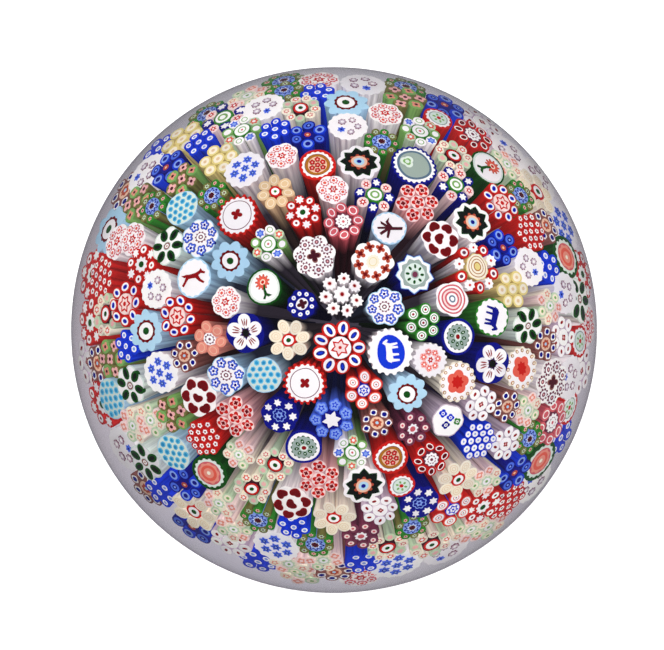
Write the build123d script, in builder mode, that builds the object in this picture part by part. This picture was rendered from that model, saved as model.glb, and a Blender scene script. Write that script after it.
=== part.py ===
"""Close-packed millefiori glass paperweight.

A clear crystal dome on a ground foot holds a ball of short patterned glass canes. The canes stand
like the stalks of a bouquet: all point up from one place low in the ball, and their faces lie on it.
Origin: middle of the foot, on the surface that the weight rests on. Millimetres, +Z up.
"""

import os
from math import acos, asin, atan, cos, degrees, dist, hypot, radians, sin, sqrt

from build123d import *

# Driving dimensions: crystal dome
DIAMETER = 80.0              # widest, at the equator of the dome
EQUATOR_HEIGHT = 21.0        # centre of the dome's sphere above the table
FOOT_DIAMETER = 49.0         # outer edge of the ground ring
FOOT_RING_WIDTH = 8.0        # width of the flat ground ring
HOLLOW_DEPTH = 1.6           # depth of the polished hollow inside the ring
FOOT_BEVEL = 0.6             # small bevel round the foot

# Driving dimensions: the setting of canes
BALL_RADIUS = 25.6           # sphere that the middles of the cane faces lie on
SETTING_OFFSET = (0.45, 0.55)  # the hand-set ball stands slightly off the dome's axis, in X and Y
ROOT_DROP = 12.0             # the canes all point up from here, this far under the middle of the ball
ROOT_REACH = 7.5             # distance from that point to the root of every cane
ROOT_SHARE = 0.80            # width at the root, as a share of a full cone's width
WAIST_REACH = 0.80           # where a cane is pulled in, as a share of the way to its face
WAIST_SHARE = 0.90           # width there, as a share of a full cone's width
TIP_BEVEL = 0.12             # melted edge round a cane's face
CANE_GAP = 0.16              # least clear glass between two canes at their faces
LOWEST_TILT = 114.0          # no place on the ball is further than this from upright
EASE = 0.3                   # share of a crowded pair's overlap that each round takes away
GAP_TRIALS = 6000            # places tried, down a spiral over the ball, for one more small cane
GAP_SQUEEZE = 0.84           # a small cane is let in where it finds this share of the room that it needs
SPIRAL_TURN = 137.508        # degrees from one trial to the next, so that the trials spread evenly
GATHER_RADIUS = 27.8         # ball of clear glass that covers the cane faces
GATHER_BOTTOM = 4.0          # flat underside of that inner gather, above the table
CASING_GAP = 0.05            # seam between the inner gather and the outer casing

# Each kind of cane: face diameter, then the places where it stands as (bearing, tilt) in degrees.
# Bearings run from +X towards +Y, and tilts run from upright.
CANE_KINDS = {
    "white_star_rods": (6.3, [(73, 8)]),
    "red_hexagram_rods": (7.1, [(284, 7)]),
    "navy_dot_cane": (4.0, [(147, 12)]),
    "blue_star_florets": (5.3, [(15, 14), (204, 38), (147, 52)]),
    "cream_rods": (5.6, [(196, 15), (268, 66), (308, 66), (233, 94), (33, 102)]),
    "red_cog": (5.9, [(245, 18), (133, 48)]),
    "blue_oval_silhouette": (6.3, [(329, 19)]),
    "coral_ring_rods": (5.5, [(289, 20), (302, 80)]),
    "quatrefoil_ring": (5.7, [(62, 20)]),
    "cog_ring": (5.9, [(107, 20), (345, 82)]),
    "green_ring_rods": (5.1, [(2, 25)]),
    "flower_silhouette": (4.9, [(152, 25), (46, 82)]),
    "turquoise_honeycomb": (4.7, [(215, 26), (144, 67), (218, 75), (195, 92)]),
    "pansy": (5.3, [(184, 28), (346, 52)]),
    "green_star_cup": (5.6, [(34, 28)]),
    "blue_petals_star": (5.9, [(265, 29)]),
    "pale_blue_petals": (5.4, [(316, 30), (149, 39), (180, 65), (89, 85), (158, 103)]),
    "pink_floret_cog": (4.7, [(336, 30)]),
    "navy_white_stars": (5.0, [(237, 32), (297, 66)]),
    "pink_oval_rods": (5.4, [(87, 32), (334, 92)]),
    "tree_silhouette": (4.6, [(62, 34)]),
    "floret_ring_eye": (5.0, [(130, 33), (276, 39), (66, 77), (116, 80)]),
    "red_star_florets": (4.2, [(168, 35), (92, 43), (109, 60), (80, 82)]),
    "red_spiral": (4.7, [(13, 37)]),
    "green_floret_cup": (4.8, [(355, 37), (256, 38)]),
    "red_star_rods": (5.0, [(107, 37), (199, 106)]),
    "mauve_rods": (4.7, [(308, 38), (276, 76)]),
    "coral_petals": (4.8, [(186, 40)]),
    "cream_floret": (5.4, [(335, 41), (348, 64)]),
    "navy_star_rods": (5.3, [(74, 43), (48, 64), (118, 97)]),
    "red_hearts": (5.3, [(41, 43), (207, 50), (256, 62)]),
    "red_cog_rods": (5.7, [(222, 43), (57, 48), (264, 49)]),
    "amber_cup": (4.7, [(294, 44), (97, 53)]),
    "plain_motif_cane": (4.6, [(318, 45)]),
    "pink_lobed_eye": (4.9, [(246, 47), (243, 62), (56, 73), (99, 86), (283, 86),
                             (178, 91), (293, 98)]),
    "yellow_target_cluster": (6.8, [(23, 48)]),
    "cream_petals": (5.1, [(116, 47)]),
    "brown_dot_rods": (4.3, [(292, 31), (191, 50), (336, 65), (187, 103)]),
    "red_silhouette": (5.0, [(161, 49)]),
    "navy_silhouette": (5.0, [(4, 51)]),
    "blue_eye_rods": (5.5, [(176, 52), (37, 76), (173, 78)]),
    "pale_florets": (4.5, [(234, 52), (236, 77), (312, 81), (206, 86), (5, 78), (243, 90), (267, 92),
                           (258, 99), (302, 101), (337, 76)]),
    "red_oval_rods": (5.1, [(305, 53), (55, 94)]),
    "black_star_disc": (5.5, [(280, 53), (82, 55), (37, 60)]),
    "white_oval_rods": (4.8, [(331, 55), (326, 74)]),
    "green_eye_cup": (3.5, [(291, 57), (359, 101), (63, 91), (340, 104)]),
    "red_honeycomb": (5.1, [(220, 58), (25, 81), (169, 97), (315, 104)]),
    "blue_honeycomb": (5.4, [(320, 64)]),
    "navy_cup": (6.0, [(65, 59)]),
    "salmon_cup": (4.9, [(229, 67), (14, 101), (324, 103)]),
    "yellow_rods": (5.1, [(12, 62), (127, 75), (132, 103)]),
    "blue_rods": (4.9, [(26, 62), (98, 68), (226, 82), (320, 86), (138, 93), (66, 105),
                        (234, 104)]),
    "blue_dot_rods": (4.1, [(108, 74), (186, 77), (257, 74), (128, 92), (224, 98), (275, 97)]),
    "white_blue_stars": (5.4, [(121, 62), (194, 62), (252, 89), (21, 105), (285, 103)]),
    "green_petal_flower": (4.9, [(157, 66), (359, 65), (196, 78), (216, 94), (7, 101)]),
    "mauve_ring_florets": (4.9, [(87, 69), (168, 67), (107, 90), (83, 103), (43, 104),
                                 (208, 104), (349, 98)]),
    "green_blue_florets": (4.4, [(134, 61), (249, 75), (294, 79), (148, 82), (263, 83), (328, 84)]),
    "olive_rods": (5.0, [(207, 66), (137, 78), (74, 101), (187, 90), (150, 97)]),
}

# Small kinds that fill the gaps that are left, taking turns
GAP_KINDS = ("pale_florets", "blue_dot_rods", "red_star_florets", "white_oval_rods", "green_blue_florets",
             "mauve_ring_florets", "red_star_rods", "brown_dot_rods")


def direction(bearing, tilt):
    """Unit vector from the middle of the ball towards a place on it, as a tuple."""
    across = sin(radians(tilt))
    return (across * cos(radians(bearing)), across * sin(radians(bearing)), cos(radians(tilt)))


def lean_limit(place):
    """A place brought back onto the unit sphere, and up to the lowest tilt that a cane may have."""
    x, y, z = place
    height = max(z / hypot(x, y, z), cos(radians(LOWEST_TILT)))
    share = sqrt(1 - height**2) / hypot(x, y)
    return (x * share, y * share, height)


def from_roots(place):
    """How far a face is from the point under the roots, and the unit vector from that point to it."""
    x, y, z = (BALL_RADIUS * value for value in place)
    reach = hypot(x, y, z + ROOT_DROP)
    return reach, (x / reach, y / reach, (z + ROOT_DROP) / reach)


def spread(places, widths, rounds=600):
    """Ease crowded places apart on the ball until every pair of tapering canes is clear all along."""
    near = [(i, j) for i in range(len(places)) for j in range(i) if dist(places[i], places[j]) < 0.7]
    for _ in range(rounds):
        seen = [from_roots(place) for place in places]
        shifts = [[0.0, 0.0, 0.0] for _ in places]
        crowded = False
        for i, j in near:
            apart = 2 * asin(dist(seen[i][1], seen[j][1]) / 2)
            lack = atan(widths[i] / seen[i][0]) + atan(widths[j] / seen[j][0]) - apart
            if lack <= 0:
                continue
            crowded = True
            for axis in range(3):
                away = (places[i][axis] - places[j][axis]) / dist(places[i], places[j])
                push = EASE * (lack + 0.001) * away
                shifts[i][axis] += push
                shifts[j][axis] -= push
        if not crowded:
            break
        places = [lean_limit([p + s for p, s in zip(place, shift)]) for place, shift in zip(places, shifts)]
    return places


def half_width(kind):
    """Half the room that a cane of this kind takes up at its face."""
    return (CANE_KINDS[kind][0] + CANE_GAP) / 2


def fill_gaps(kinds, places):
    """Add a small cane, in turn from GAP_KINDS, wherever the canes so far nearly leave room for it."""
    kinds = list(kinds)
    places = list(places)
    for trial in range(GAP_TRIALS):
        lowest = cos(radians(LOWEST_TILT))
        tilt = degrees(acos(1 - (1 - lowest) * (trial + 0.5) / GAP_TRIALS))
        place = direction(trial * SPIRAL_TURN, tilt)
        kind = GAP_KINDS[len(places) % len(GAP_KINDS)]
        reach, way = from_roots(place)
        for other_kind, other_place in zip(kinds, places):
            other_reach, other_way = from_roots(other_place)
            apart = 2 * asin(dist(way, other_way) / 2)
            need = atan(half_width(kind) / reach) + atan(half_width(other_kind) / other_reach)
            if apart < GAP_SQUEEZE * need:
                break
        else:
            kinds.append(kind)
            places.append(place)
    return kinds, places


# Work out where the face of every cane stands
first_kinds = [kind for kind, (_, spots) in CANE_KINDS.items() for _ in spots]
first_places = [direction(*spot) for _, spots in CANE_KINDS.values() for spot in spots]
eased_places = spread(first_places, [half_width(kind) for kind in first_kinds])
face_kinds, crowded_places = fill_gaps(first_kinds, eased_places)
face_places = spread(crowded_places, [half_width(kind) for kind in face_kinds])
moves = [BALL_RADIUS * dist(a, b) for a, b in zip(first_places, face_places)]
print("canes:", len(face_kinds), "of them in gaps:", len(face_kinds) - len(first_kinds), "kinds:", len(CANE_KINDS))
print("moves, mean and most, mm:", round(sum(moves) / len(moves), 2), round(max(moves), 2))

os.makedirs("parts", exist_ok=True)
BALL_MIDDLE = Vector(*SETTING_OFFSET, EQUATOR_HEIGHT)
ROOT_POINT = BALL_MIDDLE - Vector(0, 0, ROOT_DROP)


def make_cane(face_diameter, reach):
    """One cane upright over the root point: a tapered stalk with its slightly domed face at the top."""
    cone = face_diameter / 2 / reach
    rim_radius = face_diameter / 2 - TIP_BEVEL
    rim_height = reach - BALL_RADIUS + sqrt(BALL_RADIUS**2 - rim_radius**2)
    waist = reach * WAIST_REACH
    with BuildPart() as cane:
        with BuildSketch(Plane.XZ):
            with BuildLine():
                Polyline(
                    (0, reach),
                    (0, ROOT_REACH),
                    (cone * ROOT_REACH * ROOT_SHARE, ROOT_REACH),
                    (cone * waist * WAIST_SHARE, waist),
                    (cone * (rim_height - 3 * TIP_BEVEL), rim_height - 3 * TIP_BEVEL),
                    (rim_radius, rim_height),
                )
                RadiusArc((rim_radius, rim_height), (0, reach), -BALL_RADIUS)
            make_face()
        revolve(axis=Axis.Z)
    return cane.part


all_canes = []
for kind, (face_diameter, _) in CANE_KINDS.items():
    with BuildPart() as cane_group:
        for face_kind, place in zip(face_kinds, face_places):
            if face_kind == kind:
                reach, way = from_roots(place)
                with Locations(Plane(origin=ROOT_POINT, z_dir=Vector(*way))):
                    add(make_cane(face_diameter, reach))
    cane_group.part.label = kind
    export_step(cane_group.part, f"parts/{kind}.step")
    all_canes.extend(cane_group.part.solids())

# Inner gather: the clear glass that holds the canes, a ball with a flat underside and a pocket per cane
with BuildPart() as setting_gather:
    with Locations(BALL_MIDDLE):
        Sphere(GATHER_RADIUS)
    split(bisect_by=Plane.XY.offset(GATHER_BOTTOM), keep=Keep.TOP)
    add(all_canes, mode=Mode.SUBTRACT)
setting_gather.part.label = "setting_gather"
export_step(setting_gather.part, "parts/setting_gather.step")

# Outer casing: the crystal dome, with the foot, the hollow under it and the cavity round the gather
dome_radius = DIAMETER / 2
foot_radius = FOOT_DIAMETER / 2
ring_inner_radius = foot_radius - FOOT_RING_WIDTH
foot_drop = EQUATOR_HEIGHT - FOOT_BEVEL
foot_inset = dome_radius - foot_radius
shoulder_radius = (foot_inset**2 + foot_drop**2) / (2 * foot_inset)
hollow_radius = (ring_inner_radius**2 + HOLLOW_DEPTH**2) / (2 * HOLLOW_DEPTH)
with BuildPart() as cavity:
    with Locations(BALL_MIDDLE):
        Sphere(GATHER_RADIUS + CASING_GAP)
    split(bisect_by=Plane.XY.offset(GATHER_BOTTOM - CASING_GAP), keep=Keep.TOP)
with BuildPart() as crystal_dome:
    with BuildSketch(Plane.XZ):
        with BuildLine():
            Line((0, HOLLOW_DEPTH), (0, EQUATOR_HEIGHT + dome_radius))
            RadiusArc((0, EQUATOR_HEIGHT + dome_radius), (dome_radius, EQUATOR_HEIGHT), dome_radius)
            RadiusArc((dome_radius, EQUATOR_HEIGHT), (foot_radius, FOOT_BEVEL), shoulder_radius)
            Line((foot_radius, FOOT_BEVEL), (foot_radius - FOOT_BEVEL, 0))
            Line((foot_radius - FOOT_BEVEL, 0), (ring_inner_radius, 0))
            RadiusArc((ring_inner_radius, 0), (0, HOLLOW_DEPTH), -hollow_radius)
        make_face()
    revolve(axis=Axis.Z)
    add(cavity.part, mode=Mode.SUBTRACT)
crystal_dome.part.label = "crystal_dome"
export_step(crystal_dome.part, "parts/crystal_dome.step")

print("height:", round(crystal_dome.part.bounding_box().size.Z, 2), "shoulder radius:", round(shoulder_radius, 2))
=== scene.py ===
"""Looks of a close-packed millefiori paperweight: a block of crystal round a ball of patterned canes.

Metres, +Z up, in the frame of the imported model. Every cane stands where its CAD cane stands.
"""
import math

import bpy
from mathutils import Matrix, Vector, noise


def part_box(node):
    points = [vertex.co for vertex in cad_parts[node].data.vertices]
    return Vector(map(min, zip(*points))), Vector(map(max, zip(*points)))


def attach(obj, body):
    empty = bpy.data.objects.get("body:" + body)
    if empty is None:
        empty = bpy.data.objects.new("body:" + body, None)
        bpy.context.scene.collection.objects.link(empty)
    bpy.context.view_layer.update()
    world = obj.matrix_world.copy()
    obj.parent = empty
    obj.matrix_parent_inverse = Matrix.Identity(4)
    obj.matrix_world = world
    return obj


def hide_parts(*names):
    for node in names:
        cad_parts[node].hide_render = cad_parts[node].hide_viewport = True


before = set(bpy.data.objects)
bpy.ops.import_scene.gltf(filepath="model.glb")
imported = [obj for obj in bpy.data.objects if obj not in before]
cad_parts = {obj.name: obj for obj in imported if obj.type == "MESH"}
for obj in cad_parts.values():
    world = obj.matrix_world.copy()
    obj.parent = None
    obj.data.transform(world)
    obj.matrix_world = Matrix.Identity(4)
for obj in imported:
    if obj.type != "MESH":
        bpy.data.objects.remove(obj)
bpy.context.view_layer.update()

MM = 0.001
TAU = 2 * math.pi

# ---------------------------------------------------------------- sizes, from the frame
dome_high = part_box("crystal_dome")[1]
ball_low, ball_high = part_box("setting_gather")
DOME_RADIUS = dome_high.x
EQUATOR = dome_high.z - DOME_RADIUS
GATHER_COVER = 2.2 * MM   # clear glass between the cane faces and the outside of the gather
BALL_RADIUS = (ball_high.x - ball_low.x) / 2 - GATHER_COVER
ROOT_DROP = 12.0 * MM     # the canes all point up from here, this far under the middle of the ball
ROOT_REACH = 7.5 * MM     # distance from that point to the root of every cane
BALL_MIDDLE = Vector(((ball_low.x + ball_high.x) / 2, (ball_low.y + ball_high.y) / 2, EQUATOR))
ROOT_POINT = BALL_MIDDLE - Vector((0, 0, ROOT_DROP))
FOOT_RADIUS = 24.5 * MM
FOOT_RING = 8.0 * MM
FOOT_BEVEL = 0.6 * MM
HOLLOW_DEPTH = 1.6 * MM

# ---------------------------------------------------------------- glass colours, as seen (sRGB 0-255)
GLASS = {
    "white": (246, 243, 240),
    "cream": (238, 230, 206),
    "yellow": (222, 205, 130),
    "amber": (168, 104, 28),
    "peach": (232, 190, 160),
    "red": (196, 30, 24),
    "ruby": (140, 10, 16),
    "dark_red": (104, 8, 14),
    "maroon": (70, 18, 30),
    "coral": (222, 92, 74),
    "rose": (206, 92, 100),
    "pink": (232, 172, 168),
    "pale_pink": (240, 214, 208),
    "mauve": (112, 50, 72),
    "lilac": (196, 180, 192),
    "brown": (136, 84, 76),
    "navy": (12, 18, 128),
    "royal": (16, 54, 204),
    "blue": (70, 104, 216),
    "sky": (128, 158, 226),
    "pale_blue": (172, 212, 232),
    "turquoise": (96, 186, 216),
    "teal": (40, 140, 190),
    "dark_green": (16, 74, 18),
    "green": (48, 128, 40),
    "leaf": (120, 170, 90),
    "pale_green": (190, 214, 176),
    "frost": (214, 228, 216),
    "grey_green": (150, 168, 158),
    "olive": (112, 112, 58),
    "black": (14, 20, 16),
    "grey_blue": (84, 110, 132),
    "terracotta": (178, 74, 50),
    "salmon": (226, 142, 122),
    "tan": (222, 192, 148),
    # painted shade: the dark grey of the shaded inside of the ball, given to the lump of cane roots
    "painted_shade_grey": (66, 62, 72),
}
TINTS = ((0.90, 0.90, 0.92), (1.0, 1.0, 1.0), (1.05, 1.03, 1.0))   # rods of one colour differ a little
MOST_LIGHT = 0.93                        # no glass gives back more than this share of a colour
STREAK_DARK = (0.58, 0.54, 0.60)         # the two tints of the streaks on a cane's side
STREAK_LIGHT = (1.0, 0.98, 0.98)
DEEP_PAINTED_SHADE = (0.05, 0.04, 0.06)                # painted shade: what is left of a colour deep between the canes, in place of their shadow
SHADE_FADE_START = 0.60 * BALL_RADIUS          # from the middle of the ball: painted shade, all dark up to here
SHADE_FADE_END = 0.98 * BALL_RADIUS            # and full colour from here outwards
CRYSTAL_IOR = 1.52
CRYSTAL_TINT = (0.965, 0.96, 0.975, 1)
LAMP_TINT = (0.52, 0.51, 0.535, 1)       # share of lamp light that each surface of it lets through


def linear(colour, tint=(1, 1, 1)):
    """The RGBA that a shader takes, from a colour of GLASS."""
    def one(value):
        value = value / 255
        return value / 12.92 if value <= 0.04045 else ((value + 0.055) / 1.055) ** 2.4
    return tuple(min(MOST_LIGHT, one(v) * t) for v, t in zip(GLASS[colour], tint)) + (1.0,)


# ---------------------------------------------------------------- materials
materials = {}


def new_material(name):
    material = bpy.data.materials.new(name)
    material.use_nodes = True
    nodes = material.node_tree.nodes
    return material, nodes, material.node_tree.links, nodes["Principled BSDF"]


def cane_glass(name, roughness):
    """Opaque glass inside clear glass: its surface has no gloss of its own, so it gets no specular."""
    material, nodes, links, shader = new_material(name)
    shader.inputs["Roughness"].default_value = roughness
    shader.inputs["Specular IOR Level"].default_value = 0.0
    return material, nodes, links, shader


def face_glass(colour, tint):
    """Cut face of coloured glass, with a faint unevenness from the pull of the cane."""
    name = f"{colour}_face_{tint}"
    if name in materials:
        return materials[name]
    material, nodes, links, shader = cane_glass(name, 0.5)
    shader.inputs["Base Color"].default_value = linear(colour, TINTS[tint])
    grain = nodes.new("ShaderNodeTexNoise")
    grain.inputs["Scale"].default_value = 1800
    bump = nodes.new("ShaderNodeBump")
    bump.inputs["Distance"].default_value = 0.02 * MM
    bump.inputs["Strength"].default_value = 0.4
    place = nodes.new("ShaderNodeTexCoord")
    links.new(place.outputs["Object"], grain.inputs["Vector"])
    links.new(grain.outputs["Fac"], bump.inputs["Height"])
    links.new(bump.outputs["Normal"], shader.inputs["Normal"])
    materials[name] = material
    return material


def shaft_glass(colour):
    """Side of a cane: streaks drawn out along it, darker between them, and painted shade that darkens it
    deep in the ball, where the canes cast no shadow.
    """
    name = f"{colour}_shaft"
    if name in materials:
        return materials[name]
    material, nodes, links, shader = cane_glass(name, 0.6)
    place = nodes.new("ShaderNodeTexCoord")
    from_roots = nodes.new("ShaderNodeVectorMath")
    from_roots.operation = "SUBTRACT"
    from_roots.inputs[1].default_value = ROOT_POINT
    along = nodes.new("ShaderNodeVectorMath")
    along.operation = "NORMALIZE"
    streaks = nodes.new("ShaderNodeTexNoise")
    streaks.inputs["Scale"].default_value = 70
    streaks.inputs["Detail"].default_value = 3
    blend = nodes.new("ShaderNodeMapRange")
    blend.inputs["From Min"].default_value = 0.36
    blend.inputs["From Max"].default_value = 0.60
    colours = nodes.new("ShaderNodeMix")
    colours.data_type = "RGBA"
    colours.inputs["A"].default_value = linear(colour, STREAK_DARK)
    colours.inputs["B"].default_value = linear(colour, STREAK_LIGHT)
    # painted shade: the side darkens towards the middle of the ball, standing in for the shadow between the
    # canes
    from_middle = nodes.new("ShaderNodeVectorMath")
    from_middle.operation = "DISTANCE"
    from_middle.inputs[1].default_value = BALL_MIDDLE
    shade_fade = nodes.new("ShaderNodeMapRange")
    shade_fade.inputs["From Min"].default_value = SHADE_FADE_START
    shade_fade.inputs["From Max"].default_value = SHADE_FADE_END
    painted_shade = nodes.new("ShaderNodeMix")
    painted_shade.data_type = "RGBA"
    painted_shade.inputs["A"].default_value = linear(colour, DEEP_PAINTED_SHADE)
    links.new(place.outputs["Object"], from_middle.inputs[0])
    links.new(from_middle.outputs["Value"], shade_fade.inputs["Value"])
    links.new(shade_fade.outputs["Result"], painted_shade.inputs["Factor"])
    links.new(place.outputs["Object"], from_roots.inputs[0])
    links.new(from_roots.outputs[0], along.inputs[0])
    links.new(along.outputs[0], streaks.inputs["Vector"])
    links.new(streaks.outputs["Fac"], blend.inputs["Value"])
    links.new(blend.outputs["Result"], colours.inputs["Factor"])
    links.new(colours.outputs["Result"], painted_shade.inputs["B"])
    links.new(painted_shade.outputs["Result"], shader.inputs["Base Color"])
    materials[name] = material
    return material


def crystal_glass(name, roughness):
    """Clear lead crystal. Lamp light reaches the canes straight through it, weakened by LAMP_TINT."""
    material, nodes, links, shader = new_material(name)
    shader.inputs["Base Color"].default_value = CRYSTAL_TINT
    shader.inputs["Roughness"].default_value = roughness
    shader.inputs["IOR"].default_value = CRYSTAL_IOR
    shader.inputs["Transmission Weight"].default_value = 1.0
    ripple = nodes.new("ShaderNodeTexNoise")
    ripple.inputs["Scale"].default_value = 45
    bump = nodes.new("ShaderNodeBump")
    bump.inputs["Distance"].default_value = 0.01 * MM
    bump.inputs["Strength"].default_value = 0.3
    place = nodes.new("ShaderNodeTexCoord")
    links.new(place.outputs["Object"], ripple.inputs["Vector"])
    links.new(ripple.outputs["Fac"], bump.inputs["Height"])
    links.new(bump.outputs["Normal"], shader.inputs["Normal"])
    rays = nodes.new("ShaderNodeLightPath")
    clear = nodes.new("ShaderNodeBsdfTransparent")
    clear.inputs["Color"].default_value = LAMP_TINT
    either = nodes.new("ShaderNodeMixShader")
    links.new(rays.outputs["Is Shadow Ray"], either.inputs["Fac"])
    links.new(shader.outputs[0], either.inputs[1])
    links.new(clear.outputs[0], either.inputs[2])
    links.new(either.outputs[0], nodes["Material Output"].inputs["Surface"])
    return material


# ---------------------------------------------------------------- outlines: share of the radius
COG_ROUNDING = 0.2        # the higher, the rounder the teeth
COG_STRETCH = 1.095       # brings the tops of such rounded teeth back to the full radius


def circle(angle):
    return 1.0


def cog(teeth, depth=0.1):
    """Square-shouldered teeth."""
    def outline(angle):
        wave = math.cos(teeth * angle)
        return 1 - depth * (1 - wave / math.sqrt(wave * wave + COG_ROUNDING) * COG_STRETCH) / 2
    outline.points = teeth * 6
    return outline


def star(points, valley=0.55):
    """Sharp points, with valleys at that share of the radius."""
    def outline(angle):
        between = abs((angle * points / TAU) % 1 - 0.5) * 2
        return 1 / (1 + (1 / valley - 1) * (1 - between))
    outline.points = points * 4
    return outline


def petals(count, depth=0.25):
    """Round lobes with sharp notches between them."""
    def outline(angle):
        return 1 - depth * (1 - abs(math.cos(count * angle / 2)))
    outline.points = count * 8
    return outline


def oval(aspect):
    """An ellipse, long along angle 0, and that share as wide."""
    def outline(angle):
        return aspect / math.hypot(aspect * math.cos(angle), math.sin(angle))
    outline.points = 24
    return outline


def heart(angle):
    return 0.80 + 0.16 * math.cos(angle) - 0.14 * math.cos(2 * angle) + 0.08 * math.cos(3 * angle)


heart.points = 24

# ---------------------------------------------------------------- silhouettes, in face radii
HOUND = [
    (-0.66, 0.22), (-0.52, 0.1), (-0.4, 0.1), (-0.52, -0.1), (-0.66, -0.26), (-0.58, -0.32),
    (-0.4, -0.12), (-0.26, 0.0), (-0.02, -0.02), (0.14, -0.04), (0.3, -0.22), (0.5, -0.36),
    (0.56, -0.28), (0.38, -0.12), (0.28, 0.08), (0.4, 0.16), (0.6, 0.12), (0.64, 0.2), (0.48, 0.28),
    (0.42, 0.38), (0.34, 0.28), (0.16, 0.2), (-0.14, 0.18), (-0.36, 0.22), (-0.5, 0.2),
]
GRAZER = [
    (-0.54, -0.44), (-0.44, -0.44), (-0.38, -0.1), (-0.22, -0.08), (-0.22, -0.44), (-0.12, -0.44),
    (-0.08, -0.08), (0.16, -0.06), (0.18, -0.44), (0.28, -0.44), (0.3, -0.06), (0.4, -0.44),
    (0.5, -0.44), (0.46, 0.02), (0.52, 0.22), (0.66, 0.1), (0.72, 0.18), (0.6, 0.4), (0.5, 0.48),
    (0.36, 0.3), (0.0, 0.28), (-0.34, 0.3), (-0.5, 0.2), (-0.6, 0.0), (-0.54, 0.02),
]
TREE = [
    (-0.07, -0.58), (0.07, -0.58), (0.04, -0.16), (0.3, 0.02), (0.52, 0.0), (0.3, 0.15), (0.13, 0.08),
    (0.3, 0.38), (0.17, 0.36), (0.03, 0.15), (-0.02, 0.52), (-0.11, 0.5), (-0.08, 0.15), (-0.3, 0.42),
    (-0.4, 0.34), (-0.17, 0.06), (-0.48, 0.1), (-0.5, 0.0), (-0.12, -0.08),
]
STEM = [
    (-0.08, 0.12), (0.02, 0.1), (0.1, -0.12), (0.22, -0.3), (0.48, -0.34), (0.3, -0.46), (0.2, -0.42),
    (0.16, -0.62), (0.06, -0.62), (0.1, -0.4), (-0.02, -0.14),
]


# ---------------------------------------------------------------- the parts of a cane
def rod(size, *layers, at=(0.0, 0.0), long=True, turn=None, aim=None):
    """One round rod. layers: (colour, outline, share of the rod's radius), the outermost first."""
    full = [layer + (circle, 1.0)[len(layer) - 1:] for layer in layers]
    return {"at": at, "size": size, "layers": full, "long": long, "turn": turn, "aim": aim}


def ring(count, radius, size, *layers, long=False, turn=0.0, turns_out=False):
    """Rods evenly round a circle. Several sorts of rod take turns where layers is a list of them."""
    sorts = layers[0] if isinstance(layers[0], list) else [layers]
    made = []
    for i in range(count):
        angle = TAU * i / count + turn
        at = (radius * math.cos(angle), radius * math.sin(angle))
        made.append(rod(size, *sorts[i % len(sorts)], at=at, long=long, aim=angle if turns_out else None))
    return made


def bundle(count, centre, *layers, core=None):
    """Long rods: one in the middle with the others packed round it."""
    size = math.sin(math.pi / count) / (1 + math.sin(math.pi / count))
    middle = core or (1 - 2 * size) * 0.98
    return [rod(middle, *centre)] + ring(count, 1 - size, size * 0.97, *layers, long=True)


def comb(rows, *layers):
    """Long rods in a honeycomb, with that many rows round the middle one."""
    size = 1 / (2 * rows + 1)
    made = []
    for q in range(-rows, rows + 1):
        for r in range(-rows, rows + 1):
            x = 2 * size * (q + r / 2)
            y = 2 * size * r * math.sqrt(3) / 2
            if math.hypot(x, y) < 1 - size * 0.8:
                made.append(rod(size * 0.97, *layers, at=(x, y)))
    return made


def figure(colour, outline, size):
    """A flat figure let into the face."""
    return {"figure": [(x * size, y * size) for x, y in outline], "colour": colour}


EYE = (
    ("green",), ("white", circle, 0.86), ("leaf", circle, 0.5), ("white", circle, 0.38),
    ("rose", circle, 0.14),
)
RED_EYE = (("red",), ("white", circle, 0.72), ("dark_green", circle, 0.34))
RED_FLORET = (("white",), ("coral", star(6, 0.6), 0.85), ("white", circle, 0.3))
BLUE_FLORET = (("white",), ("blue", star(6, 0.6), 0.9), ("sky", circle, 0.35))

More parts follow.
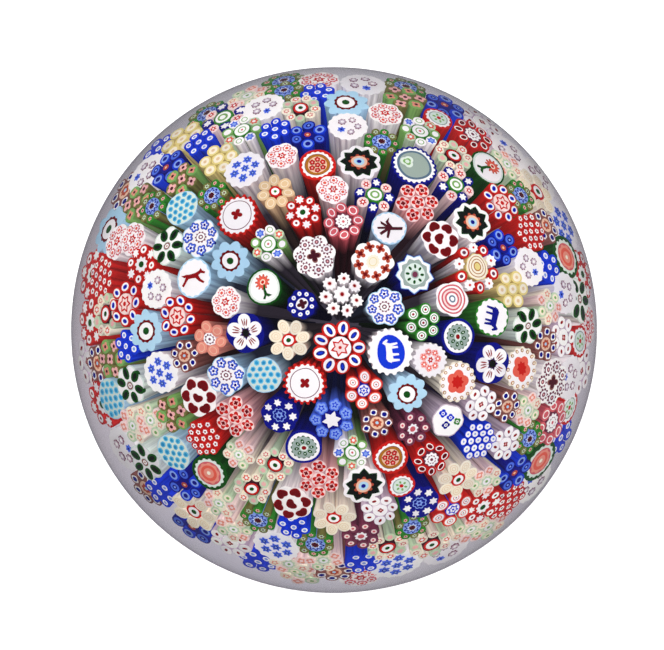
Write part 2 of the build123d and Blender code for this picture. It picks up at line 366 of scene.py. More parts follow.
KINDS = {
    "white_star_rods": bundle(
        7, (("white", star(9, 0.74)), ("pale_pink", circle, 0.34), ("ruby", circle, 0.22)),
        ("white", star(9, 0.74)), ("pale_pink", circle, 0.38), ("ruby", circle, 0.24), core=0.4,
    ),
    "red_hexagram_rods": [
        rod(
            0.44, ("dark_red",), ("white", circle, 0.94), ("red", star(6, 0.6), 0.8),
            ("pale_pink", star(6, 0.62), 0.58), ("red", circle, 0.14),
        ),
        *ring(
            9, 0.72, 0.275, ("red",), ("white", oval(0.8), 0.86), ("navy", oval(0.5), 0.6),
            ("royal", oval(0.4), 0.34), long=True, turns_out=True,
        ),
    ],
    "navy_dot_cane": [
        rod(1, ("navy", cog(9, 0.08)), ("white", circle, 0.4), ("maroon", petals(4, 0.5), 0.34)),
        *ring(9, 0.7, 0.14, ("white",), ("sky", circle, 0.4)),
    ],
    "blue_star_florets": [
        rod(1, ("pale_blue", petals(7, 0.14)), ("white", petals(7, 0.14), 0.96)),
        *ring(
            7, 0.67, 0.27, ("navy", petals(5, 0.3)), ("blue", petals(5, 0.3), 0.88),
            ("white", star(5, 0.5), 0.68), ("navy", circle, 0.26),
        ),
        rod(
            0.31, ("mauve", cog(10, 0.2)), ("white", circle, 0.72), ("mauve", circle, 0.4),
            ("white", circle, 0.2), long=False,
        ),
    ],
    "cream_rods": [
        rod(0.34, *RED_EYE),
        *ring(
            7, 0.66, 0.33, ("cream", oval(0.84)), ("tan", oval(0.8), 0.66), ("cream", oval(0.8), 0.58),
            ("tan", oval(0.8), 0.34), ("cream", oval(0.8), 0.26), long=True, turns_out=True,
        ),
    ],
    "red_cog": [
        rod(
            1, ("red", cog(20, 0.14)), ("white", cog(20, 0.08), 0.86), ("mauve", circle, 0.69),
            ("white", circle, 0.655), ("ruby", petals(4, 0.5), 0.27),
        ),
    ],
    "blue_oval_silhouette": [
        rod(1, ("white", cog(18, 0.1))), rod(0.72, ("royal", oval(0.84)), long=False, turn=0.0),
        figure("white", GRAZER, size=0.74),
    ],
    "coral_ring_rods": bundle(
        6,
        (
            ("royal",), ("white", circle, 0.9), ("royal", star(6, 0.6), 0.84),
            ("white", star(6, 0.6), 0.52), ("royal", circle, 0.18),
        ),
        ("red",), ("coral", circle, 0.88), ("white", circle, 0.72), ("coral", circle, 0.44),
        ("white", circle, 0.34), ("mauve", circle, 0.12),
    ),
    "quatrefoil_ring": [
        rod(1, ("white", petals(8, 0.14))),
        *ring(
            8, 0.68, 0.25, ("terracotta", petals(4, 0.55)), ("dark_red", petals(4, 0.5), 0.5),
            turns_out=True,
        ),
        rod(0.32, ("cream", cog(12, 0.1)), ("yellow", circle, 0.6), ("cream", circle, 0.52), long=False),
    ],
    "cog_ring": [
        rod(1, ("white", petals(7, 0.16))),
        *ring(
            7, 0.66, 0.27, ("mauve", cog(9, 0.3)), ("white", circle, 0.66), ("mauve", circle, 0.36),
            ("pink", circle, 0.16),
        ),
        rod(0.34, ("brown", petals(4, 0.5)), ("maroon", petals(4, 0.5), 0.8), long=False),
    ],
    "green_ring_rods": bundle(
        6,
        (
            ("green",), ("white", circle, 0.76), ("dark_green", circle, 0.56), ("white", circle, 0.4),
            ("ruby", circle, 0.2),
        ),
        ("green",), ("white", circle, 0.76), ("green", circle, 0.56), ("white", circle, 0.42),
        ("ruby", circle, 0.2),
    ),
    "flower_silhouette": [
        rod(1, ("dark_green",), ("frost", circle, 0.9), ("white", circle, 0.8)),
        figure("dark_green", STEM, size=1.1),
        rod(
            0.44, ("terracotta", cog(11, 0.3)), ("coral", cog(11, 0.3), 0.84), ("cream", circle, 0.34),
            ("red", circle, 0.22), at=(-0.16, 0.24), long=False,
        ),
    ],
    "turquoise_honeycomb": [
        rod(1, ("pale_blue",), ("frost", circle, 0.95)),
        *[
            dict(part, long=False, size=part["size"] * 0.78)
            for part in comb(2, ("turquoise", petals(6, 0.1)), ("teal", circle, 0.6))
        ],
    ],
    "pansy": [
        rod(1, ("navy", cog(5, 0.05))),
        *ring(5, 0.56, 0.36, ("white", oval(0.92)), turns_out=True),
        *[
            part
            for turn in (-0.22, 0, 0.22)
            for part in ring(5, 0.5, 0.2, ("ruby", oval(0.16)), turn=turn, turns_out=True)
        ],
        rod(0.3, ("maroon", star(10, 0.45)), ("black", circle, 0.6), long=False),
    ],
    "green_star_cup": [
        rod(
            1, ("navy", star(9, 0.82)), ("pale_blue", star(9, 0.82), 0.97),
            ("white", star(9, 0.82), 0.91), ("grey_green", star(9, 0.86), 0.74), ("frost", circle, 0.52),
            ("grey_green", circle, 0.2), ("mauve", circle, 0.14),
        ),
        *ring(8, 0.37, 0.1, ("dark_green", oval(0.6)), turns_out=True),
    ],
    "blue_petals_star": [
        rod(0.46, ("navy",), ("white", star(6, 0.6), 0.92)),
        *ring(
            7, 0.71, 0.3, ("blue", petals(5, 0.2)), ("sky", petals(5, 0.3), 0.8),
            ("royal", star(5, 0.5), 0.56), ("sky", circle, 0.2), long=True, turns_out=True,
        ),
    ],
    "pale_blue_petals": [
        rod(
            1, ("pale_blue", petals(9, 0.22)), ("dark_red", cog(12, 0.08), 0.54), ("white", circle, 0.4),
            ("dark_green", circle, 0.17),
        ),
    ],
    "pink_floret_cog": [
        rod(1, ("white", cog(18, 0.1))),
        *ring(
            7, 0.46, 0.22, ("pink", petals(5, 0.2)), ("coral", star(6, 0.5), 0.9),
            ("white", circle, 0.28),
        ),
        rod(0.2, ("red", star(6, 0.6)), ("white", circle, 0.25), long=False),
    ],
    "navy_white_stars": [
        rod(1, ("navy", petals(8, 0.08))),
        *ring(7, 0.69, 0.22, ("white", star(6, 0.6))),
        rod(
            0.38, ("sky", petals(8, 0.2)), ("navy", petals(8, 0.2), 0.84), ("sky", star(6, 0.6), 0.6),
            ("navy", circle, 0.2), long=False,
        ),
    ],
    "pink_oval_rods": bundle(
        8,
        (
            ("mauve",), ("white", cog(10, 0.16), 0.9), ("mauve", cog(10, 0.2), 0.56),
            ("white", circle, 0.44), ("rose", circle, 0.16),
        ),
        ("rose",), ("white", oval(0.8), 0.8), ("rose", oval(0.76), 0.62), core=0.44,
    ),
    "tree_silhouette": [
        rod(1, ("pale_blue",), ("white", cog(16, 0.06), 0.95)), figure("maroon", TREE, size=1.3),
    ],
    "floret_ring_eye": bundle(
        8, EYE,
        [
            (("pale_green",),) + RED_FLORET[1:],
            (("white",), ("leaf", circle, 0.6), ("white", circle, 0.44)),
            (("white",),) + BLUE_FLORET[1:], (("leaf",), ("white", circle, 0.66)),
        ],
        core=0.44,
    ),
    "red_star_florets": [
        rod(1, ("white", petals(7, 0.1))),
        *ring(7, 0.63, 0.26, ("rose", cog(8, 0.25)), ("white", circle, 0.66), ("coral", circle, 0.38)),
        rod(0.3, ("red", star(6, 0.55)), ("white", circle, 0.36), ("red", circle, 0.2), long=False),
    ],
    "red_spiral": [
        rod(
            1, ("white", petals(5, 0.12)), ("rose", circle, 0.82), ("white", circle, 0.73),
            ("rose", circle, 0.62), ("pale_pink", circle, 0.53), ("rose", circle, 0.43),
            ("white", circle, 0.33), ("grey_blue", circle, 0.2), ("white", circle, 0.12),
        ),
    ],
    "green_floret_cup": [
        rod(
            1, ("navy",), ("white", circle, 0.86), ("dark_green", cog(16, 0.08), 0.72),
            ("grey_green", circle, 0.66), ("frost", circle, 0.22), ("ruby", circle, 0.13),
        ),
        *ring(8, 0.4, 0.13, ("dark_green", oval(0.7)), ("frost", circle, 0.3), turns_out=True),
    ],
    "red_star_rods": bundle(
        8, (("red",), ("white", cog(9, 0.2), 0.92), ("dark_green", circle, 0.36)),
        [
            (("red",), ("white", star(7, 0.6), 0.9)),
            (("red",), ("white", circle, 0.66), ("ruby", circle, 0.26)),
        ],
    ),
    "mauve_rods": bundle(
        7, (("mauve",), ("white", cog(8, 0.2), 0.8), ("rose", circle, 0.4)), ("mauve",),
        ("pale_pink", circle, 0.52), ("rose", circle, 0.24),
    ),
    "coral_petals": bundle(
        6, (("white",), ("mauve", cog(9, 0.2), 0.84), ("white", circle, 0.6), ("mauve", circle, 0.22)),
        ("salmon",), ("peach", oval(0.8), 0.72), ("salmon", oval(0.8), 0.6), core=0.36,
    ),
    "cream_floret": [
        rod(
            1, ("cream", cog(15, 0.08)), ("white", circle, 0.9), ("coral", petals(5, 0.24), 0.6),
            ("red", star(8, 0.7), 0.34),
        ),
        *ring(15, 0.82, 0.085, ("amber",), ("cream", circle, 0.62)),
    ],
    "navy_star_rods": bundle(
        8, (("green",), ("white", circle, 0.78), ("leaf", circle, 0.52), ("white", circle, 0.3)),
        [
            (("navy",), ("white", star(6, 0.6), 0.78)),
            (("pale_pink",), ("red", star(6, 0.5), 0.72), ("white", circle, 0.2)),
        ],
    ),
    "red_hearts": [
        rod(1, ("white", petals(7, 0.1))),
        *ring(6, 0.65, 0.315, ("ruby", heart), ("dark_red", heart, 0.86), turns_out=True),
        rod(0.315, ("ruby", heart), ("dark_red", heart, 0.86), long=False),
    ],
    "red_cog_rods": bundle(
        6,
        (
            ("pale_pink",), ("red", petals(5, 0.45), 0.92), ("pink", circle, 0.46),
            ("dark_red", petals(4, 0.4), 0.32),
        ),
        ("pink",), ("pale_pink", circle, 0.95), ("red", petals(5, 0.45), 0.9), ("pink", circle, 0.44),
        ("dark_red", petals(4, 0.4), 0.32),
    ),
    "amber_cup": [
        rod(
            1, ("red",), ("white", cog(18, 0.06), 0.86), ("brown", circle, 0.7), ("amber", circle, 0.66),
            ("peach", circle, 0.52),
        ),
        *ring(6, 0.34, 0.165, ("dark_red", petals(5, 0.2)), ("red", circle, 0.8), ("pink", circle, 0.3)),
        rod(
            0.165, ("dark_red", petals(5, 0.2)), ("red", circle, 0.8), ("pink", circle, 0.3), long=False,
        ),
    ],
    "plain_motif_cane": [
        rod(1, ("lilac", cog(6, 0.06)), ("white", cog(6, 0.06), 0.94)),
        *[
            rod(
                0.24, (shade, petals(4, 0.3)), ("white", circle, 0.42), (shade, circle, 0.2), at=at,
                long=False,
            )
            for shade, at in (
                ("navy", (0, 0.3)), ("royal", (0, -0.22)),
                ("green", (-0.52, -0.22)), ("royal", (0.52, -0.22)),
            )
        ],
    ],
    "pink_lobed_eye": bundle(
        9, (("maroon",), ("red", circle, 0.9), ("white", circle, 0.66), ("dark_green", circle, 0.28)),
        [
            (("cream",), ("coral", star(6, 0.6), 0.76), ("white", circle, 0.3)),
            (("pale_green",), ("pink", star(6, 0.6), 0.7)),
            (("cream",), ("rose", star(6, 0.6), 0.66), ("cream", circle, 0.3)),
        ],
        core=0.42,
    ),
    "yellow_target_cluster": bundle(
        10,
        (
            ("yellow", petals(9, 0.1)), ("cream", circle, 0.92), ("amber", circle, 0.78),
            ("cream", circle, 0.72), ("amber", circle, 0.56), ("cream", circle, 0.5),
            ("amber", circle, 0.34), ("yellow", circle, 0.26),
        ),
        [
            (("red",), ("white", circle, 0.62), ("mauve", circle, 0.32)),
            (("white", star(8, 0.75)), ("red", circle, 0.22)),
        ],
    ),
    "cream_petals": [
        rod(0.32, ("red",), ("white", circle, 0.66), ("green", circle, 0.24)),
        *ring(
            7, 0.66, 0.33, ("tan", oval(0.86)), ("cream", oval(0.84), 0.62), ("tan", oval(0.84), 0.52),
            long=True, turns_out=True,
        ),
    ],
    "brown_dot_rods": bundle(
        7,
        (
            ("brown",), ("peach", circle, 0.84), ("terracotta", cog(7, 0.2), 0.6),
            ("pale_blue", circle, 0.2),
        ),
        ("brown",), ("white", petals(4, 0.2), 0.76), ("navy", circle, 0.46), core=0.46,
    ),
    "red_silhouette": [
        rod(1, ("pale_blue",), ("white", cog(16, 0.05), 0.94)), figure("ruby", HOUND, size=1.1),
    ],
    "navy_silhouette": [
        rod(1, ("green",), ("white", cog(15, 0.08), 0.95)), figure("navy", GRAZER, size=0.95),
    ],
    "blue_eye_rods": bundle(
        8,
        (
            ("pale_pink",), ("red", star(6, 0.6), 0.9), ("pale_pink", star(6, 0.6), 0.62),
            ("red", circle, 0.22),
        ),
        ("red",), ("white", oval(0.84), 0.8), ("royal", oval(0.7), 0.5), ("navy", oval(0.6), 0.3),
    ),
    "pale_florets": bundle(
        7, (("cream",), ("pale_green", cog(8, 0.2), 0.8), ("white", circle, 0.5), ("leaf", circle, 0.2)),
        [
            (("pale_pink",), ("salmon", petals(4, 0.4), 0.76), ("pale_pink", circle, 0.3)),
            (("pale_green",), ("cream", circle, 0.7), ("leaf", circle, 0.3)),
            (("cream",), ("salmon", star(5, 0.6), 0.7), ("cream", circle, 0.3)),
        ],
        core=0.42,
    ),
    "red_oval_rods": bundle(
        8,
        (
            ("mauve",), ("white", cog(9, 0.16), 0.94), ("mauve", cog(9, 0.2), 0.6),
            ("white", circle, 0.46), ("mauve", circle, 0.2),
        ),
        ("red",), ("white", oval(0.72), 0.8), ("dark_red", oval(0.68), 0.6), core=0.42,
    ),
    "black_star_disc": [
        rod(
            1, ("white", petals(9, 0.12)), ("dark_green", star(9, 0.76), 0.88),
            ("black", star(9, 0.76), 0.83), ("terracotta", cog(9, 0.2), 0.48), ("peach", circle, 0.36),
            ("pale_blue", circle, 0.24), ("navy", circle, 0.11),
        ),
    ],
    "white_oval_rods": bundle(
        7, (("white",), ("ruby", petals(4, 0.4), 0.42), ("pink", circle, 0.14)), ("lilac",),
        ("white", circle, 0.95), ("ruby", oval(0.62), 0.4),
    ),
    "green_eye_cup": [
        rod(
            1, ("red",), ("white", cog(14, 0.08), 0.86), ("grey_green", circle, 0.66),
            ("frost", circle, 0.58), ("red", circle, 0.15),
        ),
        *ring(6, 0.32, 0.11, ("leaf", oval(0.7)), turns_out=True),
    ],
    "red_honeycomb": comb(2, ("red",), ("white", petals(5, 0.25), 0.68), ("ruby", circle, 0.26)),
    "blue_honeycomb": comb(2, ("royal",), ("white", circle, 0.78), ("sky", circle, 0.26)),
    "navy_cup": [
        rod(
            1, ("navy", cog(24, 0.05)), ("white", cog(24, 0.08), 0.9), ("grey_blue", circle, 0.74),
            ("grey_green", circle, 0.64),
        ),
        rod(
            0.3, ("frost", petals(3, 0.3)), ("leaf", petals(3, 0.3), 0.6), ("frost", circle, 0.3),
            at=(0.22, -0.24), long=False,
        ),
    ],
    "salmon_cup": [
        rod(
            1, ("dark_green",), ("frost", cog(16, 0.08), 0.84), ("rose", circle, 0.66),
            ("salmon", cog(9, 0.1), 0.6), ("coral", circle, 0.44), ("salmon", circle, 0.28),
            ("cream", circle, 0.1),
        ),
    ],
    "yellow_rods": bundle(
        6, (("yellow",), ("cream", circle, 0.7), ("tan", circle, 0.28)), ("yellow",),
        ("cream", circle, 0.7), ("tan", circle, 0.28),
    ),
    "blue_rods": bundle(
        6, (("navy",), ("terracotta", circle, 0.5), ("peach", circle, 0.2)),
        [
            (("royal",), ("sky", circle, 0.7), ("navy", circle, 0.4)),
            (("navy",), ("blue", circle, 0.76), ("navy", circle, 0.4), ("sky", circle, 0.18)),
        ],
    ),
    "blue_dot_rods": bundle(
        6, (("royal",), ("white", circle, 0.54), ("sky", circle, 0.3)), ("royal",),
        ("white", circle, 0.54), ("sky", circle, 0.3),
    ),
    "white_blue_stars": [
        rod(1, ("white", cog(14, 0.07))),
        *ring(6, 0.52, 0.235, ("blue", star(6, 0.6)), ("navy", circle, 0.38), ("sky", circle, 0.22)),
        rod(0.235, ("blue", star(6, 0.6)), ("navy", circle, 0.38), ("sky", circle, 0.22), long=False),
    ],
    "green_petal_flower": [
        rod(1, ("frost", petals(6, 0.18)), ("white", petals(6, 0.18), 0.92)),
        *ring(6, 0.62, 0.32, ("dark_green", oval(0.66)), ("black", oval(0.5), 0.66), turns_out=True),
        rod(
            0.24, ("frost",), ("brown", circle, 0.8), ("white", circle, 0.48), ("amber", circle, 0.2),
            long=False,
        ),
    ],
    "mauve_ring_florets": [
        rod(1, ("white", cog(16, 0.06))),
        *ring(
            5, 0.44, 0.2,
            [
                *[(("mauve", cog(7, 0.2)), ("lilac", circle, 0.78), ("white", circle, 0.4))] * 4,
                (("blue", star(6, 0.6)), ("navy", circle, 0.3)),
            ],
        ),
    ],
    "green_blue_florets": bundle(
        9,
        (
            ("sky",), ("navy", cog(9, 0.3), 0.94), ("sky", star(9, 0.6), 0.8),
            ("white", star(8, 0.6), 0.56), ("maroon", star(8, 0.7), 0.44),
        ),
        [
            (("green",), ("pink", star(6, 0.6), 0.56), ("ruby", circle, 0.2)),
            (("olive",), ("pale_green", star(6, 0.6), 0.66), ("mauve", circle, 0.24)),
        ],
        core=0.5,
    ),
    "olive_rods": bundle(
        6, (("olive",), ("pink", petals(4, 0.45), 0.84), ("maroon", circle, 0.28)),
        [
            (("olive",), ("pink", petals(4, 0.45), 0.84), ("maroon", circle, 0.28)),
            (("leaf",), ("salmon", petals(4, 0.45), 0.7), ("maroon", circle, 0.24)),
        ],
    ),
}

# ---------------------------------------------------------------- cane meshes
# Depth down a long rod, from 0 at the face to 1 at the root, and its width there as a share of a cone's.
SHAFT_STEPS = ((0.02, 1.01), (0.10, 0.97), (0.25, 0.91), (0.45, 0.88), (0.70, 0.85), (1.0, 0.80))
SIDE_SHARE = 0.98         # a rod's side, as a share of its outline, so that packed rods stay apart
LAYER_STEP = 0.95         # a layer is at most this share of the one round it
ROD_POINTS = 20           # least number of points round a rod
INLAY_DEPTH = 0.6 * MM    # how far a let-in rod or figure reaches into the cane
INLAY_LIFT = 0.025 * MM   # a let-in rod stands this far proud of the face
FIGURE_LIFT = 3 * INLAY_LIFT
BEND = 0.09               # how far rods wander, in face radii
SMALL_ROD = 0.5           # a rod under this many face radii is small
SMALL_DIP = 0.07          # most that a small long rod sinks below the face, in face radii
ROD_CROWN = 0.05          # how far a long rod's face bulges, in rod radii
FACE_REACH = 0.985        # CAD points at least this share of the way to the furthest are on the face
CANE_CREASE = math.radians(40)
CHANCE_MIX = (12.9898, 78.233, 37.719, 9.131)


def chance(*seed):
    """A steady number from 0 to 1 for these seeds."""
    mixed = sum(s * k for s, k in zip(seed, CHANCE_MIX)) + 1.7
    return (math.sin(mixed) * 43758.5453) % 1


def add_object(name, data):
    made = bpy.data.objects.new(name, data)
    bpy.context.scene.collection.objects.link(made)
    return made


class CaneMesh:
    """Gathers points, faces and the glass of each face into one mesh."""

    def __init__(self, name):
        self.name = name
        self.points = []
        self.faces = []
        self.slots = []
        self.palette = []

    def material(self, material):
        if material not in self.palette:
            self.palette.append(material)
        return self.palette.index(material)

    def stand(self, way, reach, radius, index):
        """Starts one cane: the way it points, how far its face is from the root point, and its spin."""
        side = way.cross(Vector((0, 0.1, 1))).normalized()
        spin = TAU * chance(index, way.x * 50, way.y * 50)
        self.across = side * math.cos(spin) + way.cross(side) * math.sin(spin)
        self.up = way.cross(self.across)
        self.way = way
        self.reach = reach
        self.radius = radius
        self.seed = Vector((way.x * 900, way.y * 900, index * 3.1))

    def place(self, x, y, depth=0.0, lift=0.0, widen=1.0):
        """A point of the cane: x and y in face radii, depth from 0 at the face to 1 at the root."""
        drift = noise.noise_vector(Vector((x * 0.9, y * 0.9, 0)) + self.seed) * BEND
        x = (x + drift.x) * self.radius
        y = (y + drift.y) * self.radius
        crown = (x * x + y * y) / (2 * BALL_RADIUS)
        height = self.reach + (ROOT_REACH - self.reach) * depth
        taper = widen * height / self.reach
        flat = (self.across * x + self.up * y) * taper
        self.points.append(ROOT_POINT + flat + self.way * (height + lift - crown))
        return len(self.points) - 1

    def face(self, corners, slot):
        self.faces.append(corners)
        self.slots.append(slot)

    def band(self, first, second, slot):
        count = len(first)
        for i in range(count):
            j = (i + 1) % count
            self.face((first[i], first[j], second[j], second[i]), slot)

    def loop(self, part, outline, share, turn, count, depth, lift, widen=1.0):
        made = []
        for i in range(count):
            angle = TAU * i / count
            r = part["size"] * share * outline(angle)
            x = part["at"][0] + r * math.cos(angle + turn)
            y = part["at"][1] + r * math.sin(angle + turn)
            made.append(self.place(x, y, depth, lift, widen))
        return made

    def add_rod(self, part, number, level):
        """One rod of the cane standing: its layered face, then its side down to the root or inlay depth."""
        layers = part["layers"]
        count = max(ROD_POINTS, *(getattr(shape, "points", ROD_POINTS) for _, shape, _ in layers))
        turn = part["turn"] if part["turn"] is not None else TAU * chance(number, level, self.seed.x)
        if part["aim"] is not None:
            turn = part["aim"]
        shade = int(chance(number + 7, self.seed.y, level) * len(TINTS))
        top = level * INLAY_LIFT
        if part["long"] and part["size"] < SMALL_ROD:
            top -= SMALL_DIP * self.radius * chance(number, self.seed.x, 3)
        crown = ROD_CROWN * part["size"] * self.radius
        edge = None
        room = 1.0
        for colour, outline, share in layers:
            share = min(share, room)
            room = share * LAYER_STEP
            rise = top - crown * share ** 4 if part["long"] else top
            inner = self.loop(part, outline, share, turn, count, 0.0, rise)
            if edge is None:
                rim = inner
            else:
                self.band(edge, inner, slot)
            slot = self.material(face_glass(colour, shade))
            edge = inner
        tip = self.place(part["at"][0], part["at"][1], 0.0, top)
        for i in range(count):
            self.face((edge[i], edge[(i + 1) % count], tip), slot)
        colour, outline, _ = layers[0]
        side = self.material(shaft_glass(colour))
        if part["long"]:
            for depth, widen in SHAFT_STEPS:
                lower = self.loop(part, outline, SIDE_SHARE, turn, count, depth, top, widen)
                self.band(lower, rim, side)
                rim = lower
            end_depth = 1.0
        else:
            end_depth = INLAY_DEPTH / (self.reach - ROOT_REACH)
            lower = self.loop(part, outline, SIDE_SHARE, turn, count, end_depth, top)
            self.band(lower, rim, side)
            rim = lower
        end = self.place(part["at"][0], part["at"][1], end_depth, top)
        for i in range(count):
            self.face((rim[(i + 1) % count], rim[i], end), side)

    def add_figure(self, part):
        slot = self.material(face_glass(part["colour"], 1))
        side = self.material(shaft_glass(part["colour"]))
        top = [self.place(x, y, 0.0, FIGURE_LIFT) for x, y in part["figure"]]
        low = [self.place(x, y, INLAY_DEPTH / (self.reach - ROOT_REACH)) for x, y in part["figure"]]
        self.face(tuple(top), slot)
        self.face(tuple(reversed(low)), side)
        self.band(low, top, side)

    def finish(self):
        """The object made of everything gathered."""
        mesh = bpy.data.meshes.new(self.name)
        mesh.from_pydata(self.points, [], self.faces)
        for material in self.palette:
            mesh.materials.append(material)
        mesh.polygons.foreach_set("material_index", self.slots)
        mesh.shade_smooth()
        mesh.set_sharp_from_angle(angle=CANE_CREASE)
        return add_object(self.name, mesh)


def stalks(node):
    """Where the CAD canes of a node stand: (way, reach, face radius) for each separate solid."""
    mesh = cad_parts[node].data
    parent = {}

    def root(key):
        parent.setdefault(key, key)
        while parent[key] != key:
            parent[key] = parent[parent[key]]
            key = parent[key]
        return key

    keys = [tuple(round(v * 1e6) for v in vertex.co) for vertex in mesh.vertices]
    for edge in mesh.edges:
        parent[root(keys[edge.vertices[0]])] = root(keys[edge.vertices[1]])
    solids = {}
    for key, vertex in zip(keys, mesh.vertices):
        solids.setdefault(root(key), {})[key] = vertex.co - ROOT_POINT
    found = []
    for points in solids.values():
        points = list(points.values())
        tallest = max(p.length for p in points)
        way = sum((p for p in points if p.length > FACE_REACH * tallest), Vector()).normalized()
        reach = max(p.dot(way) for p in points)
        radius = max((p - way * p.dot(way)).length for p in points)
        found.append((way, reach, radius))
    return sorted(found, key=lambda item: (round(item[0].z, 4), round(item[0].x, 4)))


def make_canes(kind, index):
    """All the canes of one kind. Let-in rods stand one level above the long ones."""
    canes = CaneMesh(f"canes_{kind}")
    for way, reach, radius in stalks(kind):
        canes.stand(way, reach, radius, index)
        for number, part in enumerate(KINDS[kind]):
            if "figure" in part:
                canes.add_figure(part)
            else:
                canes.add_rod(part, number, 0 if part["long"] else 1)
    return canes.finish()


for index, kind in enumerate(sorted(KINDS)):
    piece = make_canes(kind, index)
    # the canes cast no shadow; the painted shade on their sides darkens the gaps between them instead
    piece.visible_shadow = False
    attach(piece, "root")
    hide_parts(kind)


KNOT_STEPS = 24           # bands from pole to pole, and half the points round it
KNOT_SHARE = 0.98         # its size, as a share of the reach of the roots
KNOT_RIPPLE = 0.04        # how uneven it is, in the same shares


def make_root_knot():
    """The lump of glass that the roots of all the canes have melted into, coloured dark grey as painted
    shade deep inside the ball.
    """
    round_it = 2 * KNOT_STEPS
    knot = CaneMesh("cane_roots")
    slot = knot.material(face_glass("painted_shade_grey", 0))
    rows = []
    for i in range(1, KNOT_STEPS):
        tilt = math.pi * i / KNOT_STEPS
        row = []
        for j in range(round_it):
            bearing = TAU * j / round_it
            way = Vector((
                math.sin(tilt) * math.cos(bearing), math.sin(tilt) * math.sin(bearing), math.cos(tilt),
            ))
            swell = KNOT_SHARE + KNOT_RIPPLE * noise.noise(way * 4)
            knot.points.append(ROOT_POINT + way * ROOT_REACH * swell)
            row.append(len(knot.points) - 1)
        rows.append(row)
    for upper, lower in zip(rows, rows[1:]):
        knot.band(upper, lower, slot)
    for row, side in ((rows[0], 1), (rows[-1], -1)):
        knot.points.append(ROOT_POINT + Vector((0, 0, side * KNOT_SHARE * ROOT_REACH)))
        for i in range(round_it):
            corners = (row[(i + 1) % round_it], row[i], len(knot.points) - 1)
            knot.face(corners[::-side], slot)
    return knot.finish()


root_knot = make_root_knot()
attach(root_knot, "root")


# ---------------------------------------------------------------- crystal
CRYSTAL_TURNS = 256       # points round the block
DOME_STEPS = 72
LOWER_STEPS = 40
HOLLOW_STEPS = 16
CRYSTAL_CREASE = math.radians(30)


def arc(centre, radius, start, end, steps):
    """Points of an arc in the profile plane, angles in radians."""
    return [
        (centre[0] + radius * math.cos(start + (end - start) * i / steps),
         centre[1] + radius * math.sin(start + (end - start) * i / steps))
        for i in range(steps + 1)
    ]


def crystal_profile():
    """(radius, height) from the crown, down the outside and up the hollow to its middle."""
    foot_drop = EQUATOR - FOOT_BEVEL
    inset = DOME_RADIUS - FOOT_RADIUS
    shoulder = (inset**2 + foot_drop**2) / (2 * inset)
    middle = (DOME_RADIUS - shoulder, EQUATOR)
    foot_angle = math.atan2(FOOT_BEVEL - EQUATOR, FOOT_RADIUS - middle[0])
    dome = arc((0, EQUATOR), DOME_RADIUS, math.pi / 2, 0, DOME_STEPS)
    lower = arc(middle, shoulder, 0, foot_angle, LOWER_STEPS)
    inner = FOOT_RADIUS - FOOT_RING
    bowl = (inner**2 + HOLLOW_DEPTH**2) / (2 * HOLLOW_DEPTH)
    half = math.asin(inner / bowl)
    hollow = arc((0, HOLLOW_DEPTH - bowl), bowl, math.pi / 2 - half, math.pi / 2, HOLLOW_STEPS)
    return dome + lower[1:] + [(FOOT_RADIUS - FOOT_BEVEL, 0.0)] + hollow


def make_crystal():
    """The profile turned round the dome's axis, with ground glass on the foot ring."""
    profile = crystal_profile()
    points = [Vector((0, 0, profile[0][1]))]
    rows = []
    for radius, height in profile[1:-1]:
        rows.append(range(len(points), len(points) + CRYSTAL_TURNS))
        for i in range(CRYSTAL_TURNS):
            angle = TAU * i / CRYSTAL_TURNS
            points.append(Vector((radius * math.cos(angle), radius * math.sin(angle), height)))
    points.append(Vector((0, 0, profile[-1][1])))
    last = len(points) - 1
    faces = []
    for i in range(CRYSTAL_TURNS):
        j = (i + 1) % CRYSTAL_TURNS
        faces.append((0, rows[0][i], rows[0][j]))
        for upper, lower in zip(rows, rows[1:]):
            faces.append((upper[i], lower[i], lower[j], upper[j]))
        faces.append((rows[-1][i], last, rows[-1][j]))
    mesh = bpy.data.meshes.new("crystal_block")
    mesh.from_pydata(points, [], faces)
    mesh.materials.append(crystal_glass("clear_crystal", 0.0))
    mesh.materials.append(crystal_glass("ground_crystal", 0.5))
    for polygon in mesh.polygons:
        if polygon.center.z < FOOT_BEVEL and math.hypot(*polygon.center.xy) > FOOT_RADIUS - FOOT_RING:
            polygon.material_index = 1
    mesh.shade_smooth()
    mesh.set_sharp_from_angle(angle=CRYSTAL_CREASE)
    return add_object("crystal_block", mesh)


crystal = make_crystal()
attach(crystal, "root")
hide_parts("crystal_dome", "setting_gather")


# ---------------------------------------------------------------- floor, light, camera
FLOOR_HALF = 3.0
LAMP_AIM = Vector((0, 0, 0.02))
LAMP_SIZE = 0.9
AIR_STRENGTH = 0.45
MIRRORED_COLOUR = (0.90, 0.88, 1.0, 1)
MIRRORED_STRENGTH = 0.16


def make_floor():
    corners = [(x * FLOOR_HALF, y * FLOOR_HALF, 0) for x, y in ((-1, -1), (1, -1), (1, 1), (-1, 1))]
    mesh = bpy.data.meshes.new("floor")
    mesh.from_pydata(corners, [], [(0, 1, 2, 3)])
    material, _, _, shader = new_material("floor_paper")
    shader.inputs["Base Color"].default_value = (0.90, 0.90, 0.90, 1)
    shader.inputs["Roughness"].default_value = 0.8
    shader.inputs["Specular IOR Level"].default_value = 0.1
    mesh.materials.append(material)
    floor = add_object("floor", mesh)
    floor.visible_glossy = False


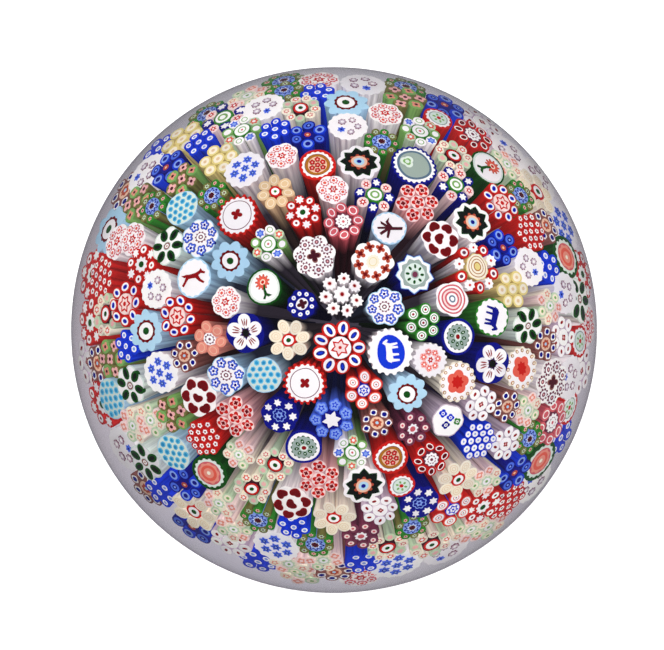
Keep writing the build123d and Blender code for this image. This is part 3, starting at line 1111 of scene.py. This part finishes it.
def make_light(name, place, power):
    """A round soft lamp aimed at the paperweight, which neither shows in the glass nor glares on it."""
    data = bpy.data.lights.new(name, "AREA")
    data.shape = "DISK"
    data.size = LAMP_SIZE
    data.energy = power
    lamp = add_object(name, data)
    lamp.location = place
    lamp.rotation_euler = (LAMP_AIM - Vector(place)).to_track_quat("-Z", "Y").to_euler()
    lamp.visible_transmission = False
    lamp.visible_glossy = False


def make_world():
    """Pale studio air. The polished crystal mirrors a dimmer one, as from behind a dark reflector."""
    world = bpy.data.worlds.new("studio")
    bpy.context.scene.world = world
    world.use_nodes = True
    nodes = world.node_tree.nodes
    links = world.node_tree.links
    air = nodes["Background"]
    air.inputs["Color"].default_value = (1.0, 1.0, 1.0, 1)
    air.inputs["Strength"].default_value = AIR_STRENGTH
    mirrored = nodes.new("ShaderNodeBackground")
    mirrored.inputs["Color"].default_value = MIRRORED_COLOUR
    mirrored.inputs["Strength"].default_value = MIRRORED_STRENGTH
    rays = nodes.new("ShaderNodeLightPath")
    either = nodes.new("ShaderNodeMixShader")
    links.new(rays.outputs["Is Glossy Ray"], either.inputs["Fac"])
    links.new(air.outputs[0], either.inputs[1])
    links.new(mirrored.outputs[0], either.inputs[2])
    links.new(either.outputs[0], nodes["World Output"].inputs["Surface"])


make_floor()
make_light("key_light", (-0.45, 0.55, 1.1), 28.0)
make_light("fill_light", (0.8, -0.5, 0.9), 19.0)
make_world()

CAMERA_DISTANCE = 1.6               # from the equator of the dome, straight above it
CAMERA_OFFSET = (-0.3042 * MM, 0.7605 * MM)   # the dome stands a little off the middle of the picture
SENSOR = 36.0                       # millimetres, as the lens length is
DOME_SHARE = 0.79217                # share of the picture's width that the dome takes
half_angle = math.asin(DOME_RADIUS / CAMERA_DISTANCE)
camera_data = bpy.data.cameras.new("camera")
camera_data.sensor_width = SENSOR
camera_data.lens = SENSOR * DOME_SHARE / 2 / math.tan(half_angle)
camera_data.clip_start = 0.01
camera = add_object("camera", camera_data)
camera.location = (*CAMERA_OFFSET, EQUATOR + CAMERA_DISTANCE)
bpy.context.scene.camera = camera
bpy.context.scene.view_settings.view_transform = "Standard"
